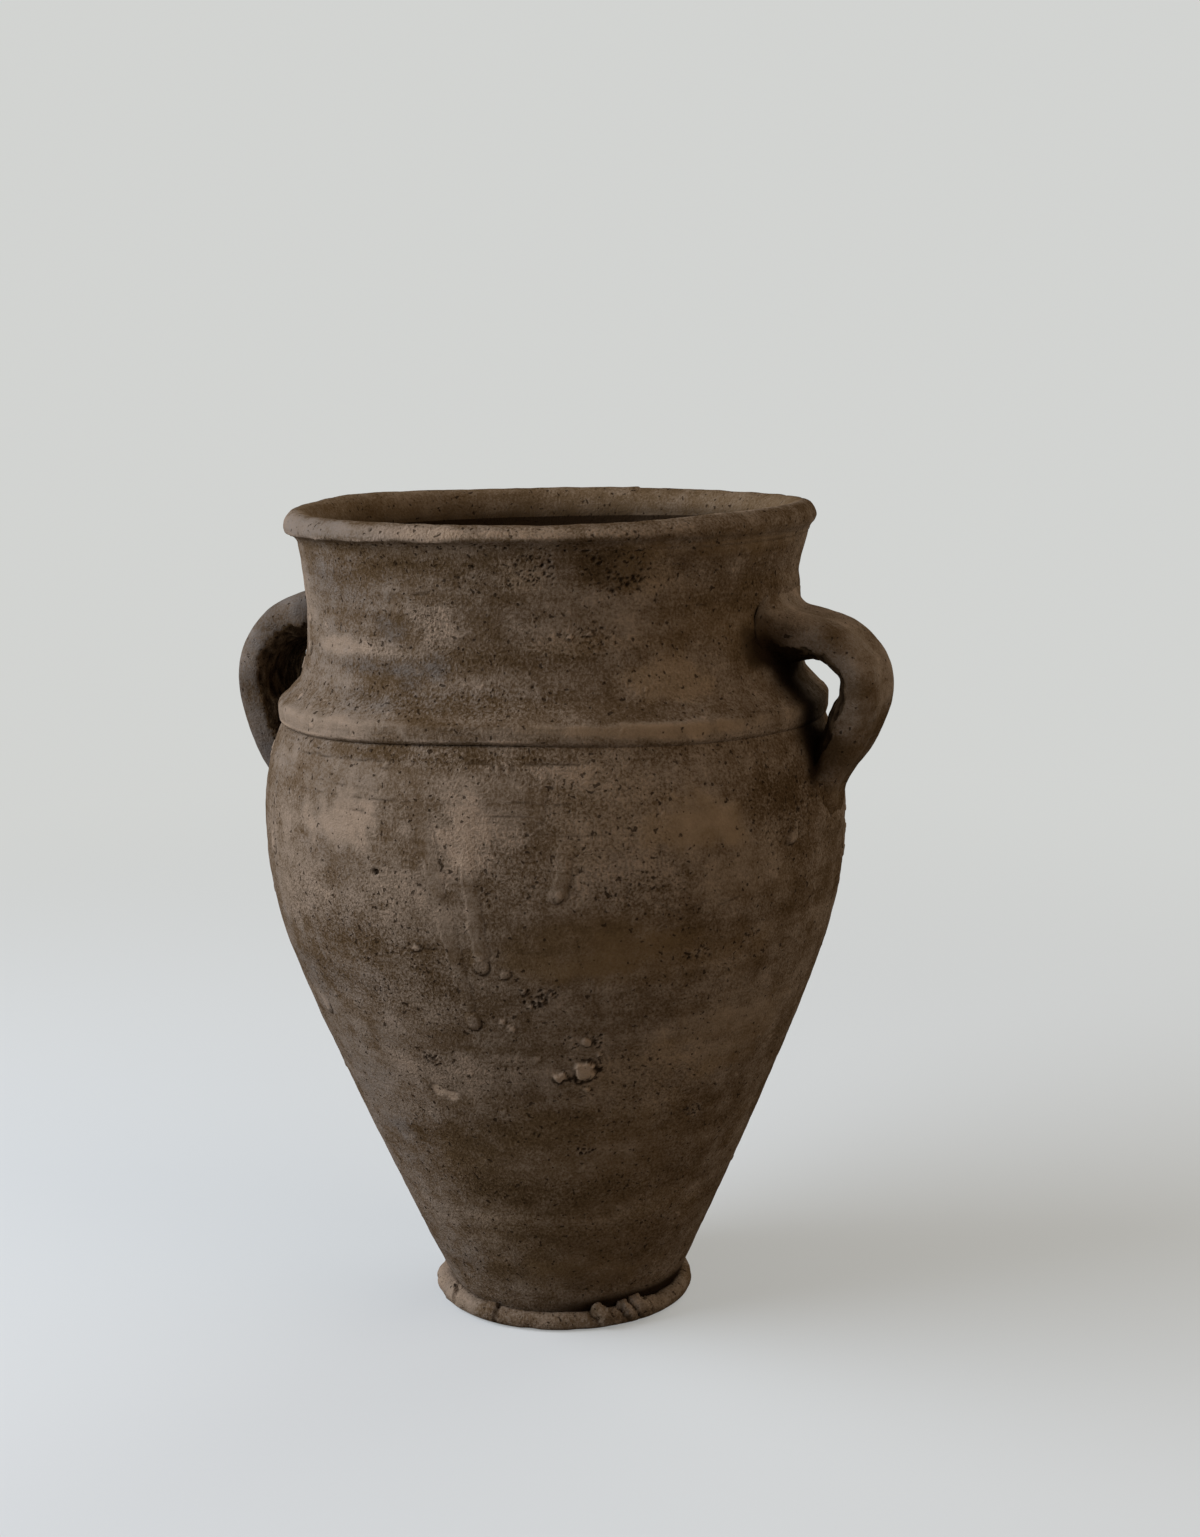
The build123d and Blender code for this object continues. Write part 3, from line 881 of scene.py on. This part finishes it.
class Recipe:
    """Builds the nodes of a material or the world. Inputs are sockets or plain numbers."""

    def __init__(self, made, shader="Principled BSDF"):
        made.use_nodes = True
        self.made = made
        self.tree = made.node_tree
        self.shader = self.tree.nodes[shader]

    def shade(self, inputs):
        """Sets or links sockets of the shader itself."""
        for name, value in inputs.items():
            self.feed(self.shader.inputs[name], value)

    def feed(self, socket, value):
        if isinstance(value, bpy.types.NodeSocket):
            self.tree.links.new(value, socket)
        else:
            socket.default_value = value

    def node(self, kind, inputs=(), **settings):
        made = self.tree.nodes.new(kind)
        for key, value in settings.items():
            setattr(made, key, value)
        for key, value in dict(inputs).items():
            self.feed(made.inputs[key], value)
        return made

    def tone(self, name):
        return self.node("ShaderNodeAttribute", attribute_name=name).outputs["Fac"]

    def math(self, operation, a, b):
        return self.node("ShaderNodeMath", {0: a, 1: b}, operation=operation).outputs[0]

    def sum(self, *parts):
        total = parts[0]
        for part in parts[1:]:
            total = self.math("ADD", total, part)
        return total

    def times(self, a, b):
        return self.math("MULTIPLY", a, b)

    def weighted(self, *parts):
        """The sum of values, each times a weight."""
        return self.sum(*(self.times(value, weight) for value, weight in parts))

    def within(self, value, from_low, from_high, to_low=0.0, to_high=1.0):
        inputs = {1: from_low, 2: from_high, 3: to_low, 4: to_high}
        made = self.node("ShaderNodeMapRange", {"Value": value, **inputs}, interpolation_type="SMOOTHSTEP")
        return made.outputs["Result"]

    def noise(self, place, scale, detail, roughness):
        """Noise about zero, from about -0.5 to 0.5."""
        inputs = {"Vector": place, "Scale": scale, "Detail": detail, "Roughness": roughness}
        return self.sum(self.node("ShaderNodeTexNoise", inputs).outputs["Fac"], -0.5)

    def stretched(self, place, scale):
        return self.node("ShaderNodeMapping", {"Vector": place, "Scale": scale}).outputs["Vector"]

    def mix(self, share, a, b):
        return self.node("ShaderNodeMix", {0: share, 6: a, 7: b}, data_type="RGBA").outputs[2]

    def ramp(self, value, stops):
        made = self.node("ShaderNodeValToRGB", {"Fac": value})
        elements = made.color_ramp.elements
        while len(elements) < len(stops):
            elements.new(0.5)
        for element, (position, colour) in zip(elements, stops):
            element.position = position
            element.color = (*colour, 1)
        return made.outputs["Color"]


CLAY_STOPS = (
    (0.0, (0.042, 0.023, 0.010)),
    (0.28, (0.080, 0.048, 0.023)),
    (0.44, (0.122, 0.080, 0.048)),
    (0.58, (0.190, 0.137, 0.094)),
    (0.74, (0.268, 0.188, 0.127)),
    (1.0, (0.362, 0.258, 0.175)),
)
GREY_FILM = (0.122, 0.109, 0.099, 1)
OCHRE = (0.215, 0.135, 0.066, 1)
DIRT_AND_SHADE_COLOUR = (0.018, 0.010, 0.005, 1)
BUMP_DEPTH = 1.5


def clay_material(name, lightness):
    """Fired clay under old film and dust. Its stains break up into specks at their edges."""
    clay = Recipe(bpy.data.materials.new(name))
    place = clay.node("ShaderNodeTexCoord").outputs["Object"]
    grit = clay.within(clay.tone("grit"), -0.8, 1.0, 0.25, 1.0)
    clouds = clay.noise(clay.stretched(place, (1, 1, 2.2)), 15.0, 4.0, 0.6)
    mottle = clay.noise(place, 75.0, 5.0, 0.62)
    grain = clay.noise(place, 760.0, 3.0, 0.6)
    fine = clay.noise(place, 1500.0, 2.0, 0.5)
    turned = clay.noise(clay.stretched(place, (0.04, 0.04, 1)), 240.0, 3.0, 0.55)
    # Grit specks are lighter where the bump stands higher: dust on the crests, and painted relief shade in
    # the hollows
    gritty = clay.times(grain, grit)
    parts = clay.weighted((clouds, 0.5), (mottle, 0.7), (turned, 0.22), (gritty, 1.25), (fine, 0.22))
    tone = clay.sum(parts, clay.tone("tan"), lightness)
    colour = clay.ramp(tone, CLAY_STOPS)
    film = clay.sum(clay.tone("grey"), clay.weighted((mottle, 0.8), (grain, 0.8)))
    colour = clay.mix(clay.within(film, 0.05, 0.75, 0.0, 0.75), colour, GREY_FILM)
    glow = clay.sum(clay.tone("warm"), clay.weighted((clouds, 0.6), (gritty, 0.9)))
    colour = clay.mix(clay.within(glow, 0.05, 0.9, 0.0, 0.5), colour, OCHRE)
    pores = clay.within(clay.sum(clay.noise(place, 430.0, 1.0, 0.4), clay.times(grit, 0.07)), 0.22, 0.28)
    colour = clay.mix(clay.times(pores, 0.75), colour, DIRT_AND_SHADE_COLOUR)
    # Darkening towards near black, for dirt and for painted shade
    grime = clay.times(clay.tone("grime"), clay.within(grain, -0.5, 0.5, 0.75, 1.25))
    colour = clay.mix(clay.within(grime, 0.0, 1.05, 0.0, 0.97), colour, DIRT_AND_SHADE_COLOUR)
    rough = clay.weighted((gritty, 1.3), (mottle, 0.3), (fine, 0.2), (turned, 0.1), (pores, -0.5))
    bump = clay.node("ShaderNodeBump", {"Height": rough, "Distance": BUMP_DEPTH * MM, "Strength": 0.9})
    roughness = clay.within(tone, 0.1, 1.0, 0.72, 0.95)
    clay.shade({"Base Color": colour, "Roughness": roughness, "Specular IOR Level": 0.0})
    clay.shade({"Normal": bump.outputs["Normal"]})
    return clay.made


CLAYS = {
    "earthenware": clay_material("earthenware", 0.475),
    "base_clay": clay_material("base_clay", 0.52),
}


# Handles: one tube from inside the neck, round the strap and down into the belly


def strap_outline():
    """A unit rounded bar as points evenly round it: across from -1 to 1, and out from -1 to 1."""
    angle = np.linspace(0, 2 * math.pi, TURN_SAMPLES)
    power = 2 / np.where(np.sin(angle) > 0, OUTER_SQUARENESS, INNER_SQUARENESS)
    bar = np.stack([np.sign(f) * np.abs(f) ** power for f in (np.cos(angle), np.sin(angle))], -1)
    reach = distances(bar * (BAR_ASPECT, 1))
    at = np.linspace(0, reach[-1], HANDLE_COLUMNS, endpoint=False)
    return [np.interp(at, reach, values)[None, :] for values in bar.T]


def handle_line(width, thickness, below_rim, below_shoulder, bow, tail):
    """The tube's centre line, and its width, thickness and groove, at each point where they are set."""
    top = NECK_TOP - below_rim
    foot = SHOULDER - below_shoulder
    start, end = (np.array([float(outside_radius(h)), h]) for h in (top, foot))
    line = [start + (end - start) * drop + (bow * share, 0) for drop, share, _, _ in STRAP_SHARES]
    sizes = [(width * wide, thickness * thick, STRAP_GROOVE) for _, _, wide, thick in STRAP_SHARES]
    way = unit(4 * line[1] - 3 * line[0] - line[2])
    root = line[0] - way * (bow * STRAP_SHARES[0][1] + ROOT_DEPTH)
    inward = left_of(body_out)
    for drop, wide, thick, groove, proud in TAIL_SHARES:
        row = np.abs(body_out[:, 1] - foot + tail * drop).argmin()
        line.append(body_out[row] - inward[row] * thickness * (proud - thick / 2))
        sizes.append((width * wide, thickness * thick, STRAP_GROOVE * groove))
    return np.array([root, *line]), np.array([sizes[0], *sizes])


def handle_tube(form, seed):
    """The tube's rings and tones, the rows where the strap begins and ends, and its feet: the points
    where it meets the wall, and how much dirt and painted shade each brings."""
    side, width, thickness, back = form[:4]
    knots, sizes = handle_line(width, thickness, *form[4:])
    joined = smooth_line(np.hstack([knots, sizes]), HANDLE_STEP)
    line = joined[:, :2]
    wide, thick, groove = joined[:, 2:].T[:, :, None]
    ends = [np.linalg.norm(line - knots[k], axis=1).argmin() for k in (1, len(STRAP_SHARES))]
    out = left_of(line)
    across, above = strap_outline()
    out_part = above * thick / 2 - groove * bell(across / GROOVE_REACH) * smoothstep(0.3, 0.9, above)
    rooted = smoothstep(*ROOT_CLEARANCE, line[:, 0] - outside_radius(line[:, 1]))
    rooted = rooted * smoothstep(SHOULDER + 10, SHOULDER + 22, line[:, 1])
    out_part = out_part + ROOT_FILL * rooted[:, None] * np.minimum(above, 0)
    x = line[:, 0, None] + out[:, 0, None] * out_part
    z = line[:, 1, None] + out[:, 1, None] * out_part
    grid = np.stack([side * x, side * across * wide / 2 + back, z], -1)
    normals = ring_normals(grid)

    broken = above + 0.14 * noise(grid, 6, seed + 2) + 0.12 * noise(grid, 2.4, seed + 3)
    inner_face = smoothstep(-0.28, -0.36, broken)
    fibres = noise(grid * (0.5, 1, 0.35), 2.2, seed + 4)
    worn = 0.35 * noise(grid, 22, seed) + 0.16 * fractal(grid, 7, 2, seed + 1)
    torn = 0.7 * noise(grid, 7, seed + 5) + 0.7 * fibres - 0.6
    edge = 0.35 * bell((broken + 0.3) / 0.12) * smoothstep(-0.2, 0.6, noise(grid, 8, seed + 5))
    grid += normals * (worn + inner_face * torn + edge)[..., None]

    clear = np.hypot(grid[..., 0], grid[..., 1]) - outside_radius(grid[..., 2])
    facing = np.abs(normals[..., 0])
    on_neck = smoothstep(SHOULDER + 5, SHOULDER + 25, z)
    fillet = SIDE_FILLET + NECK_FILLET * smoothstep(-0.7, 0.1, above) * on_neck
    close = 1 - np.clip(clear / fillet, 0, 1)
    flare = fillet * (1 - np.sqrt(1 - close**2)) * smoothstep(0.9, 0.3, facing)
    grid += normals * flare[..., None]

    reach = np.hypot(grid[..., 0], grid[..., 1])
    wall = outside_radius(grid[..., 2])
    grid[..., :2] *= (np.maximum(reach, wall - SUNK) / reach)[..., None]
    near_wall = bell(np.maximum(reach - wall, 0) / 5)
    # The strap's inner side next to the wall, the upper root's end and the inner face are darkened with
    # dirt and painted shade
    dirt_and_shade_side = smoothstep(0.35, -0.25, above + 0.2 * on_neck)
    corner = near_wall * dirt_and_shade_side
    rooted_end = bell(clear / 11) * on_neck * smoothstep(1.0, 0.3, above)
    rising = smoothstep(SHOULDER - 20, SHOULDER + 40, grid[..., 2])
    smudge = bell((grid[..., 2] - SHOULDER + 18) / 9)
    smudge = smudge * smoothstep(-0.4, 0.3, noise(grid, 14, seed + 10))
    inner_dirt_and_shade = inner_face * (0.66 - 0.4 * fibres + 0.35 * bell(clear / 15))
    sooty = (1 - inner_face) * (side < 0)
    marks = {
        "tan": 0.2 * rising - 0.13 - 0.3 * corner - 0.15 * rooted_end - 0.16 * sooty
        + 0.16 * noise(grid, 20, seed + 6),
        "warm": 0.1 + 0.2 * noise(grid, 30, seed + 7) + 0.9 * inner_face,
        "grey": 0.1 + 0.2 * noise(grid, 16, seed + 8) - 0.5 * inner_face + 0.3 * sooty,
        "grit": -0.5 * (1 - near_wall) + 0.5 * inner_face + 0.3 * noise(grid, 14, seed + 9),
        "grime": inner_dirt_and_shade + 0.7 * corner + 0.3 * smudge + 0.6 * rooted_end,
    }
    touching = np.abs(reach - wall) < HANDLE_STEP
    return grid, marks, ends, (grid[touching], dirt_and_shade_side[touching])


def make_handle(side_name, seed):
    """Makes a handle's three pieces, and gives its feet."""
    grid, marks, (strap_start, strap_end), feet = handle_tube(HANDLE_FORMS[side_name], seed)
    normals = ring_normals(grid)
    for part, first, last in (
        ("upper_root", 0, strap_start),
        ("handle", strap_start, strap_end),
        ("lower_root", strap_end, len(grid) - 1),
    ):
        node = f"{side_name}_{part}"
        taken = slice(first, last + 1)
        part_marks = {tone: values[taken] for tone, values in marks.items()}
        make_piece(node, "earthenware", grid[taken], part_marks, normals[taken], closed=False)
    return feet


# The wall rises towards the handles' feet. Dirt and painted shade lie round them and behind the straps.

all_feet = [make_handle("right", 70), make_handle("left", 90)]
feet, foot_dirt_and_shade = (np.concatenate(parts) for parts in zip(*all_feet))
roots = KDTree(len(feet))
for index, foot in enumerate(feet):
    roots.insert(foot, index)
roots.balance()
beside = outer & (np.abs(still[..., 1]) < FEET_HALF_WIDTH)
beside &= (height > SHOULDER - FEET_BELOW_SHOULDER) & (height < NECK_TOP - FEET_BELOW_RIM)
found = [roots.find(point) for point in still[beside]]
root_distance = np.array([distance for _, _, distance in found])
root_dirt_and_shade = foot_dirt_and_shade[[index for _, index, _ in found]]
relief[beside] += (1.5 - root_dirt_and_shade) * bell(root_distance / 5)
dirt_and_shade_spread = 0.8 * bell(root_distance / 4) + 0.3 * bell(root_distance / 14)
tint(beside, grime=root_dirt_and_shade * dirt_and_shade_spread)
dirt_and_shade_behind = outer * plateau(SHOULDER - 20, SHOULDER - 8, NECK_TOP - 60, NECK_TOP - 48, height)
tint(..., grime=0.8 * dirt_and_shade_behind * bell((still[..., 1] + 12) / 12))


# Thrown pieces, each a part of the skin closed by the seams that key it to its neighbours

skin_out, skin_up = (-skin_side[:, k, None] * relief for k in (0, 1))
points = round_axis(radius + skin_out, height + lift + skin_up, around)
skin_normals = ring_normals(points)


def seam(outer_row, inner_row):
    """The V between a row of the outside and a row of the bore."""
    wall = points[inner_row] - points[outer_row]
    ups = (0, TONGUE_HEIGHT, 0)
    return [points[outer_row] + wall * share + (0, 0, up) for share, up in zip(TONGUE_SHARES, ups)]


def wall_piece(node, *stretches_and_joints):
    """A thrown piece: stretches of skin, each followed by the rings that join it to the next."""
    grids, normals, hard = [], [], []
    marks = {tone: [] for tone in TONES}
    count = 0
    for stretch, joint in stretches_and_joints:
        taken = slice(stretch[0], stretch[-1] + 1)
        grids += [points[taken], joint]
        normals += [skin_normals[taken], np.zeros_like(joint)]
        count += len(stretch)
        hard += range(count - 1, count + len(joint))
        count += len(joint)
        for tone in TONES:
            marks[tone] += [tones[tone][taken], np.zeros((len(joint), column_count))]
    marks = {tone: np.vstack(values) for tone, values in marks.items()}
    make_piece(node, "earthenware", np.vstack(grids), marks, np.vstack(normals), hard)


SEAT = (
    (FLOOR_RADIUS, STEP_TOP),
    (STEP_RADIUS, STEP_TOP),
    (STEP_RADIUS, FLOOR_BOTTOM),
    (BASE_RADIUS - RING_BITE, FLOOR_BOTTOM),
    (BASE_RADIUS - RING_BITE, BASE),
)
seat = [round_axis(r, h, azimuth) for r, h in SEAT]
belly = seam(rows["upper_out"][0], rows["lower_in"][0])
shoulder = seam(rows["neck_out"][0], rows["upper_in"][0])
mouth = seam(rows["lip"][0], rows["neck_in"][0])
wall_piece("lower_body", (rows["lower_out"], belly), (rows["lower_in"], seat))
wall_piece("upper_body", (rows["upper_out"], shoulder), (rows["upper_in"], belly[::-1]))
wall_piece("neck", (rows["neck_out"], mouth), (rows["neck_in"], shoulder[::-1]))
wall_piece("rim", (rows["lip"], mouth[::-1]))


def full_turn(columns):
    return np.linspace(-math.pi, math.pi, columns, endpoint=False)[None, :]


def make_foot_ring():
    """A coil rolled on by hand, swollen at the left and torn in places."""
    columns = round(2 * math.pi * RING_REACH / RING_STEP)
    angle = full_turn(columns)
    section = smooth_line(offsets_from(BASE_RADIUS, BASE, RING_SHAPE), 0.7 * RING_STEP)
    section = np.vstack([section, [(section[-1, 0], FLOOR_BOTTOM), SEAT[-2]]])
    hard = range(len(section) - 3, len(section))
    out, up = left_of(section).T[:, :, None]
    r, z = section.T[:, :, None]
    grid = round_axis(r, z, angle)
    turned = angle / DEGREE
    left = bell((turned + 55) / 28)

    top = smoothstep(BASE - 8.0, BASE - 1.5, z) * (r > BASE_RADIUS - 1)
    reach = smoothstep(0, 3, r - BASE_RADIUS)
    under = smoothstep(-4.0, -7.5, z - BASE)
    swell = 0.6 * noise(grid, 26, 111) + 0.5 * noise(grid, 9, 112) + 0.2 * noise(grid, 3, 113)
    push = swell * np.maximum(top, reach) * (1 - under)
    push += 2.6 * top * bell((turned + 64) / 26) * (1 + 0.3 * noise(grid, 7, 114))
    torn, gaps = np.zeros_like(push), np.zeros_like(push)
    slanted = turned + 0.7 * (z - BASE)
    for seed, (at, wide, rise) in enumerate(RING_FLAPS, start=140):
        ragged_edge = 0.5 * noise(grid, 3.5, seed) + 0.35 * noise(grid, 1.5, seed + 20)
        edge = np.abs((slanted - at) / wide + ragged_edge)
        flap = rise * smoothstep(1.0, 0.75, edge) * (1 + 0.3 * noise(grid, 2.4, seed + 10))
        torn = np.maximum(torn, flap * top * reach)
        gaps = np.maximum(gaps, bell((edge - 1.12) / 0.16) * top * reach * min(rise / 4, 1))
    crack = bell((turned + 11.5) / 1.3) + 0.6 * bell((turned - 47.5) / 0.8)
    push += 0.85 * torn - 0.9 * gaps - 0.6 * crack * reach * (1 - under)
    scuffed = 0.5 * under * reach * bell((turned - 20) / 30)
    scuffed = scuffed * smoothstep(-0.1, 0.5, noise(grid, 12, 119))
    grid = round_axis(r + out * push, z + up * push + scuffed + 0.3 * torn, angle)
    grid[..., 2] = np.maximum(grid[..., 2], 0)

    # Dirt and painted shade in the crease where the ring meets the body and in the gaps round the flaps.
    # The left of the ring is lighter and greyer: its colour, and partly painted light where the cool
    # window light falls.
    corner = bell((r - BASE_RADIUS) / 1.6) * top
    marks = {
        "tan": 0.1 * noise(grid, 12, 120) + 0.02 * torn + 0.26 * left - 0.04,
        "warm": 0.15 + 0.2 * noise(grid, 20, 121),
        "grey": 0.2 * noise(grid, 15, 122) + 0.25 * left,
        "grit": -0.1 + 0.5 * noise(grid, 10, 123),
        "grime": 0.8 * corner + 0.7 * crack * reach + 0.25 * under + 0.5 * gaps,
    }
    make_piece("foot_ring", "base_clay", grid, marks, ring_normals(grid), hard)


def make_floor():
    """A pressed slab, with the spiral that the fingers leave on its top."""
    corners = (
        (FLOOR_CENTRE, FLOOR_BOTTOM),
        (STEP_RADIUS, FLOOR_BOTTOM),
        (STEP_RADIUS, STEP_TOP),
        (FLOOR_RADIUS, STEP_TOP),
        (FLOOR_RADIUS, FLOOR_TOP),
        (FLOOR_CENTRE, FLOOR_TOP),
    )
    section, hard = [corners[0]], []
    for start, end in zip(corners, corners[1:]):
        added = resampled([start, end], FLOOR_STEP)[1:]
        if start[0] == end[0]:
            hard += range(len(section) - 1, len(section) - 1 + len(added))
        section.extend(added)
    section = np.array(section)
    columns = 2 * round(math.pi * FLOOR_RADIUS / FLOOR_STEP)
    angle = full_turn(columns)
    r, z = section.T[:, :, None]
    grid = round_axis(r, z, angle)
    on_top = z > (FLOOR_BOTTOM + FLOOR_TOP) / 2
    middle = smoothstep(STEP_RADIUS - 1, STEP_RADIUS - 8, r)
    push = 0.35 * noise(grid, 16, 131) + 0.25 * on_top * np.sin(r / 1.4 - angle)
    grid[..., 2] += np.where(on_top, 1, -1) * middle * push
    marks = {"tan": 0.15 * noise(grid, 10, 133), "grime": 0.35 * on_top + 0.1 * noise(grid, 12, 132)}
    make_piece("floor", "base_clay", grid, marks, ring_normals(grid), hard, closed=False)


make_foot_ring()
make_floor()


# Camera, light and stage


def add_camera():
    lens = bpy.data.cameras.new("camera")
    lens.sensor_width = SENSOR
    lens.lens = FOCAL_PIXELS * SENSOR / PHOTO_HEIGHT
    place = Matrix.Rotation(CAMERA_AZIMUTH, 4, "Z")
    place @= Matrix.Translation((0, -CAMERA_DISTANCE * MM, CAMERA_HEIGHT * MM))
    for angle, axis in ((-CAMERA_YAW, "Z"), (math.pi / 2 - CAMERA_PITCH, "X"), (CAMERA_ROLL, "Z")):
        place @= Matrix.Rotation(angle, 4, axis)
    scene.camera = placed(lens)
    scene.camera.matrix_world = place


def add_softbox(name, side, above, distance, size, power, colour):
    """A square lamp that looks at the jar's middle, so many degrees to the camera's side and above."""
    light = bpy.data.lights.new(name, "AREA")
    light.size = size
    light.energy = power
    light.color = colour
    lamp = placed(light)
    turned = CAMERA_AZIMUTH + side * DEGREE
    level = math.cos(above * DEGREE)
    way = Vector((math.sin(turned) * level, -math.cos(turned) * level, math.sin(above * DEGREE)))
    lamp.location = way * distance + Vector((0, 0, (BASE + NECK_TOP) / 2 * MM))
    lamp.rotation_euler = way.to_track_quat("Z", "Y").to_euler()


PALE = (0.645, 0.655, 0.640, 1)
ROOM_LIGHT = (0.145, 0.125, 0.104, 1)
NEAR_FLOOR = (0.74, 0.745, 0.735, 1)
FLOOR_BOUNCE = (0.28, 0.265, 0.245, 1)
BLACK = (0, 0, 0, 1)
FLOOR_REACH = 12000.0
FLOOR_DROP = 0.1


def add_world():
    """Soft warm light all round, in front of a pale backdrop that only the camera sees."""
    world = Recipe(bpy.data.worlds.new("soft_world"), "Background")
    seen = world.node("ShaderNodeLightPath").outputs["Is Camera Ray"]
    world.shade({"Color": world.mix(seen, ROOM_LIGHT, PALE)})
    scene.world = world.made


def add_floor():
    """A pale floor that takes the jar's shadow and fades into the backdrop."""
    mesh = bpy.data.meshes.new("pale_floor")
    ends = (-FLOOR_REACH * MM, FLOOR_REACH * MM)
    mesh.from_pydata([(x, y, -FLOOR_DROP * MM) for x in ends for y in ends], [], [(0, 2, 3, 1)])
    pale = Recipe(bpy.data.materials.new("pale_floor"))
    seen = pale.node("ShaderNodeLightPath").outputs["Is Camera Ray"]
    place = pale.node("ShaderNodeTexCoord").outputs["Object"]
    away = pale.node("ShaderNodeVectorMath", {0: place}, operation="LENGTH").outputs["Value"]
    far = pale.within(away, 0.25, 1.5, 0.4, 1.0)
    paint = pale.mix(seen, FLOOR_BOUNCE, pale.mix(far, NEAR_FLOOR, BLACK))
    pale.shade({"Base Color": paint, "Roughness": 0.95, "Specular IOR Level": 0.0})
    pale.shade({"Emission Color": PALE, "Emission Strength": pale.times(seen, far)})
    mesh.materials.append(pale.made)
    floor = placed(mesh)


add_camera()
add_world()
add_floor()
add_softbox("window", -80, 28, 1.9, 1.7, 54, (0.89, 0.98, 1.13))
add_softbox("room", 58, 30, 2.4, 1.8, 16, (1.0, 0.87, 0.72))
add_softbox("back_wall", 140, 22, 2.4, 2.2, 24, (0.95, 1.0, 1.0))
scene.view_settings.view_transform = "Standard"
